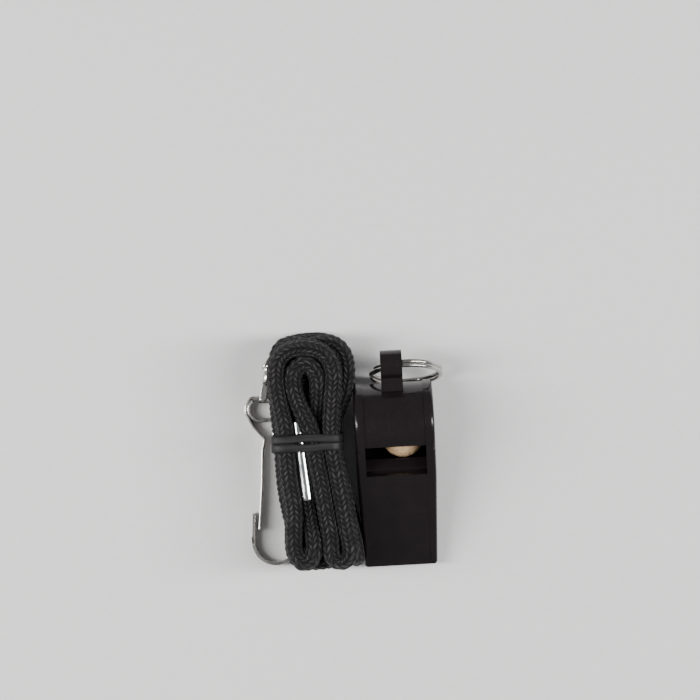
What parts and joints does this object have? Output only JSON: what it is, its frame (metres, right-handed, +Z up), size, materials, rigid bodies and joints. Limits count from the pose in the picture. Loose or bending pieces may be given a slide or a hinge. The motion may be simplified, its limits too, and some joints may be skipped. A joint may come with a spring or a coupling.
{
  "type": "training whistle",
  "caption": "Plastic pea whistle with a cork pea and split ring, and a folded braided neck lanyard with a swivel snap hook.",
  "frame": {"origin": "on the floor under the middle of the box round the whistle and its split ring, without the lanyard", "axes": "+Z up, +Y from the mouth towards the ring lug, +X to the whistle's right as seen from above with the mouth towards the viewer"},
  "size_m": [0.047, 0.0559, 0.0211],
  "materials": {
    "whistle_plastic": "glossy black moulded plastic with fine scuffs",
    "cork": "natural cork with dark specks",
    "ring_steel": "nickel plated, lightly scratched",
    "braided_cord": "black braided polyester",
    "ferrule_chrome": "bright plated",
    "band_rubber": "matt black rubber",
    "hook_steel": "nickel plated strip"
  },
  "bodies": {
    "whistle": {"whistle_body": "whistle_plastic", "left_side_plate": "whistle_plastic", "right_side_plate": "whistle_plastic"},
    "pea": {"cork_pea": "cork"},
    "ring": {"split_ring": "ring_steel"},
    "lanyard": {"lanyard_hank": "braided_cord", "crimp_ferrule": "ferrule_chrome", "rubber_band": "band_rubber", "swivel_bail": "hook_steel"},
    "swivel": {"swivel_yoke": "hook_steel", "swivel_rivet": "hook_steel"},
    "hook": {"hook_body": "hook_steel"},
    "gate": {"hook_gate": "hook_steel"}
  },
  "joints": [
    {"name": "pea_roll", "type": "hinge", "parent": "whistle", "child": "pea", "pos_m": [-0.00137, 0.00833, 0.0098], "axis": [1, 0, 0], "continuous": true},
    {"name": "ring_swing", "type": "hinge", "parent": "whistle", "child": "ring", "pos_m": [-0.00137, 0.02203, 0.01567], "axis": [1, 0, 0], "range_deg": [-2, 258]},
    {"name": "lanyard_lift", "type": "slide", "parent": "whistle", "child": "lanyard", "axis": [0, 0, 1], "range_m": [0, 0.1]},
    {"name": "swivel_spin", "type": "hinge", "parent": "lanyard", "child": "swivel", "pos_m": [-0.03252, 0.01303, 0.0021], "axis": [0.2419, 0.9703, 0], "range_deg": [0, 180]},
    {"name": "hook_swing", "type": "hinge", "parent": "swivel", "child": "hook", "pos_m": [-0.03252, 0.01303, 0.0021], "axis": [0, 0, 1], "range_deg": [-20, 2]},
    {"name": "gate_flex", "type": "hinge", "parent": "hook", "child": "gate", "pos_m": [-0.03252, 0.01303, 0.0021], "axis": [0, 0, 1], "range_deg": [0, 7], "stiffness_Nm_per_rad": 0.02}
  ]
}
